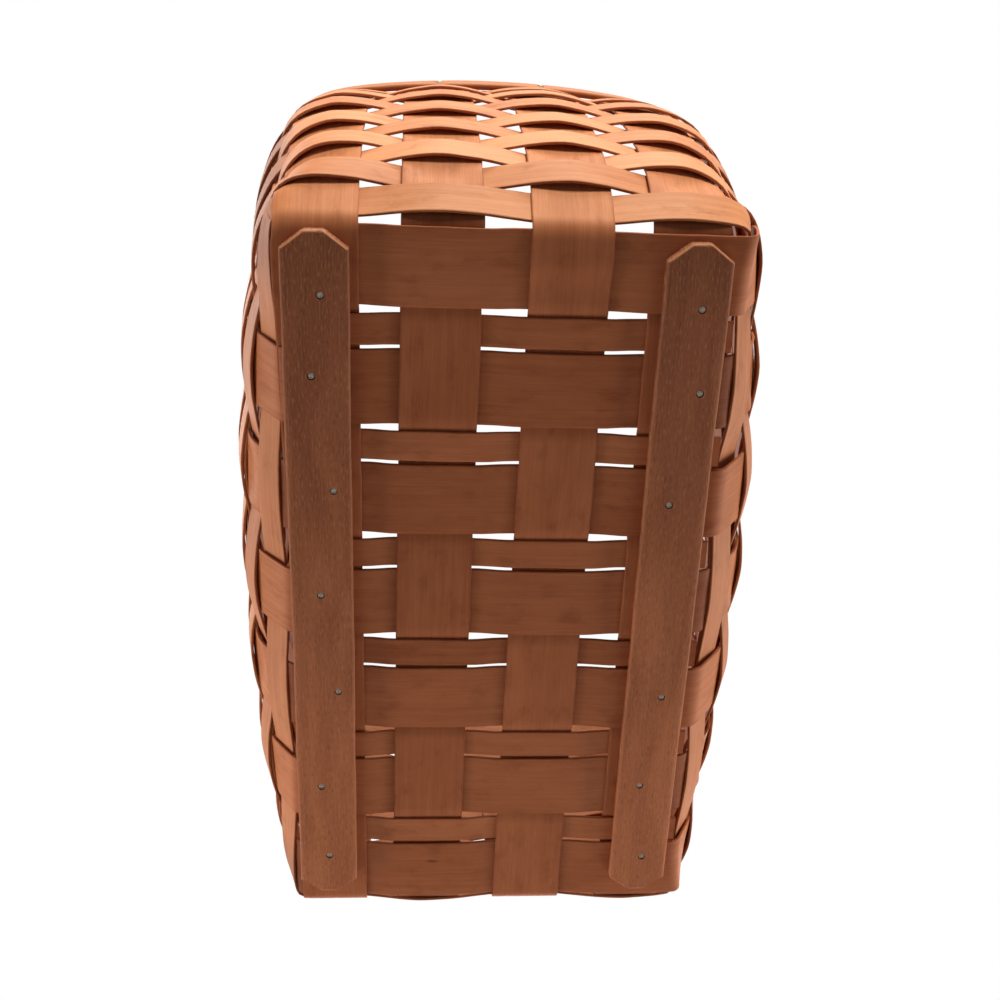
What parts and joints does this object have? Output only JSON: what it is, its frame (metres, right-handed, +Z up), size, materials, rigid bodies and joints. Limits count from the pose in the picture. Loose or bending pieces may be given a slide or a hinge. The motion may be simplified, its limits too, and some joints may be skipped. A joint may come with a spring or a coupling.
{
  "type": "rectangular basket",
  "caption": "Open rectangular basket woven from flat wood splints, with bulging walls, a two-band rim and two wooden runners under the base.",
  "frame": {"origin": "on the ground plane under the middle of the basket's outline, at the height of the runners' undersides", "axes": "+X along the basket's length, +Y across its width, +Z up out of the open mouth"},
  "size_m": [0.3836, 0.237, 0.209],
  "materials": {
    "splint": "stained, worn satin",
    "weaver": "stained, worn satin",
    "rim": "stained, worn satin",
    "runner": "stained dark, worn edges",
    "steel": "dull grey"
  },
  "bodies": {
    "root": {"lengthwise_splint_1": "splint", "lengthwise_splint_2": "splint", "lengthwise_splint_3": "splint", "lengthwise_splint_4": "splint", "cross_splint_1": "splint", "cross_splint_2": "splint", "cross_splint_3": "splint", "cross_splint_4": "splint", "cross_splint_5": "splint", "cross_splint_6": "splint", "cross_splint_7": "splint", "base_filler_1": "splint", "base_filler_2": "splint", "base_filler_3": "splint", "base_filler_4": "splint", "base_filler_5": "splint", "base_filler_6": "splint", "weaver_row_01": "weaver", "weaver_row_02": "weaver", "weaver_row_03": "weaver", "weaver_row_04": "weaver", "weaver_row_05": "weaver", "weaver_row_06": "weaver", "weaver_row_07": "weaver", "weaver_row_08": "weaver", "weaver_row_09": "weaver", "weaver_row_10": "weaver", "weaver_row_11": "weaver", "weaver_row_12": "weaver", "rim_outer_band": "rim", "rim_inner_band": "rim", "runner_left": "runner", "runner_right": "runner", "runner_left_nail_1": "steel", "runner_left_nail_2": "steel", "runner_left_nail_3": "steel", "runner_left_nail_4": "steel", "runner_left_nail_5": "steel", "runner_left_nail_6": "steel", "runner_left_nail_7": "steel", "runner_right_nail_1": "steel", "runner_right_nail_2": "steel", "runner_right_nail_3": "steel", "runner_right_nail_4": "steel", "runner_right_nail_5": "steel", "runner_right_nail_6": "steel", "rim_tack_01": "steel", "rim_tack_02": "steel", "rim_tack_03": "steel", "rim_tack_04": "steel", "rim_tack_05": "steel", "rim_tack_06": "steel", "rim_tack_07": "steel", "rim_tack_08": "steel", "rim_tack_09": "steel", "rim_tack_10": "steel", "rim_tack_11": "steel", "rim_tack_12": "steel"}
  },
  "joints": []
}
